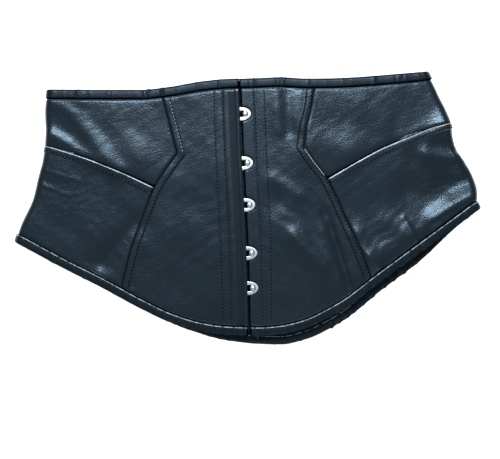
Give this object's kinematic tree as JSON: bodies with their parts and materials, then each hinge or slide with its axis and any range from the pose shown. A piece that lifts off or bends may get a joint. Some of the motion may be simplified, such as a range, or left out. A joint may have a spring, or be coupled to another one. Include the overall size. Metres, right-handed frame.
{
  "type": "corset belt",
  "caption": "Underbust corset belt in dark leather with curved panels, folded edge bindings and a front busk of steel loops over domed studs, lying flat.",
  "frame": {"origin": "under the middle of the box of the lying belt, on the surface it rests on", "axes": "+X across the belt to the picture's right, +Y from the hem up to the top edge, +Z out of the front layer"},
  "size_m": [0.4648, 0.2724, 0.0205],
  "materials": {
    "panel_leather": "smooth blue-black leather with a soft sheen and fine creases",
    "binding_leather": "thin blue-black leather tape, slightly gathered",
    "busk_steel": "bright nickel-plated steel"
  },
  "bodies": {
    "root": {"front_left_panel": "panel_leather", "front_right_panel": "panel_leather", "left_upper_side_panel": "panel_leather", "left_lower_side_panel": "panel_leather", "right_upper_side_panel": "panel_leather", "right_lower_side_panel": "panel_leather", "back_left_panel": "panel_leather", "back_right_panel": "panel_leather", "back_placket": "panel_leather", "top_binding_left": "binding_leather", "top_binding_right": "binding_leather", "bottom_binding_left": "binding_leather", "bottom_binding_right": "binding_leather", "busk_loop_1": "busk_steel", "busk_loop_2": "busk_steel", "busk_loop_3": "busk_steel", "busk_loop_4": "busk_steel", "busk_loop_5": "busk_steel", "busk_stud_1": "busk_steel", "busk_stud_2": "busk_steel", "busk_stud_3": "busk_steel", "busk_stud_4": "busk_steel", "busk_stud_5": "busk_steel"}
  },
  "joints": []
}
